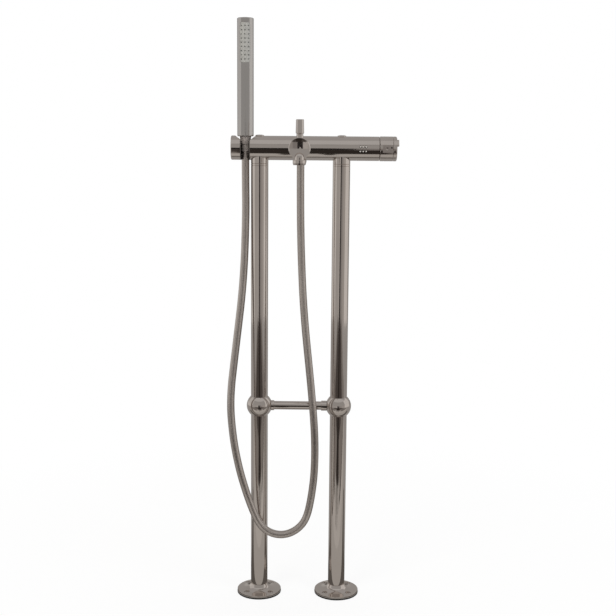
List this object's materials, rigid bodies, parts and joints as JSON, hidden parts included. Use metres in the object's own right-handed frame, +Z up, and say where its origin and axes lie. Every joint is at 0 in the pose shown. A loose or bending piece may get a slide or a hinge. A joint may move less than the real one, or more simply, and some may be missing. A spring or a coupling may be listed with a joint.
{
  "type": "floor standing bath filler",
  "caption": "Floor standing thermostatic bath filler: a round bar on supply pipes, with a spout and pull-up diverter, end handles, and a slim handset on a hose.",
  "frame": {"origin": "on the floor, midway between the two supply inlets", "axes": "+Z up, -Y to the front (the spout points along -Y), +X towards the handles, so +X is to the viewer's right from the front"},
  "size_m": [0.3132, 0.1973, 1.0867],
  "materials": {
    "polished_nickel": "polished warm grey nickel plate",
    "black_plastic": "satin black moulded plastic",
    "brass": "plain machined",
    "rubber": "matt",
    "spray_rubber": "soft grey nozzle rubber",
    "spray_plastic": "satin grey-green moulding",
    "steel": "stainless",
    "hose_skin": "smooth metallised plastic hose",
    "white_plastic": "acetal"
  },
  "bodies": {
    "stand": {"aerator_housing": "polished_nickel", "aerator_insert": "white_plastic", "brace_rod": "polished_nickel", "cartridge_nut": "brass", "diverter_bush": "polished_nickel", "handset_holder": "polished_nickel", "holder_liner": "black_plastic", "holder_stud": "steel", "hose_nut": "polished_nickel", "hose_outlet": "brass", "left_ball": "polished_nickel", "left_ball_gaskets": "rubber", "left_brace_collar": "polished_nickel", "left_check_valve": "white_plastic", "left_flange": "polished_nickel", "left_inlet": "brass", "left_leg": "polished_nickel", "left_nipple": "brass", "left_plug": "polished_nickel", "left_riser": "polished_nickel", "left_union": "polished_nickel", "left_union_ring": "polished_nickel", "right_ball": "polished_nickel", "right_ball_gaskets": "rubber", "right_brace_collar": "polished_nickel", "right_check_valve": "white_plastic", "right_flange": "polished_nickel", "right_inlet": "brass", "right_leg": "polished_nickel", "right_nipple": "brass", "right_plug": "polished_nickel", "right_riser": "polished_nickel", "right_union": "polished_nickel", "right_union_ring": "polished_nickel", "shower_hose": "hose_skin", "spout": "polished_nickel", "spout_nipple": "brass", "stop_ring": "white_plastic", "thermostatic_cartridge": "white_plastic", "valve_body": "polished_nickel"},
    "temperature_handle": {"temperature_handle": "polished_nickel", "temperature_sleeve": "brass", "button_spring": "steel"},
    "override_button": {"override_button": "polished_nickel"},
    "flow_handle": {"flow_handle": "polished_nickel", "flow_spindle": "brass"},
    "diverter": {"diverter_knob": "polished_nickel", "diverter_stem": "steel", "diverter_disc": "brass", "diverter_seal": "rubber"},
    "hose_end": {"hose_ferrule": "polished_nickel"},
    "handset": {"hose_cone": "polished_nickel", "handset_washer": "rubber", "handset_body": "polished_nickel", "handset_cap": "polished_nickel", "handset_core": "white_plastic", "handset_tube": "white_plastic", "spray_face": "spray_plastic", "spray_nozzles": "spray_rubber"}
  },
  "joints": [
    {"name": "temperature_turn", "type": "hinge", "parent": "stand", "child": "temperature_handle", "pos_m": [0.156, 0, 0.855], "axis": [1, 0, 0], "range_deg": [-160, 40]},
    {"name": "override_press", "type": "slide", "parent": "temperature_handle", "child": "override_button", "axis": [0, 1, 0], "range_m": [0, 0.002], "stiffness_N_per_m": 500, "deforming": ["button_spring"]},
    {"name": "flow_turn", "type": "hinge", "parent": "stand", "child": "flow_handle", "pos_m": [0.172, 0, 0.855], "axis": [1, 0, 0], "range_deg": [0, 90]},
    {"name": "diverter_lift", "type": "slide", "parent": "stand", "child": "diverter", "axis": [0, 0, 1], "range_m": [0, 0.008]},
    {"name": "handset_lift", "type": "slide", "parent": "stand", "child": "hose_end", "axis": [0, 0, 1], "range_m": [0, 0.08]},
    {"name": "handset_swivel", "type": "hinge", "parent": "hose_end", "child": "handset", "pos_m": [-0.101, 0, 0.87], "axis": [0, 0, 1], "continuous": true}
  ]
}
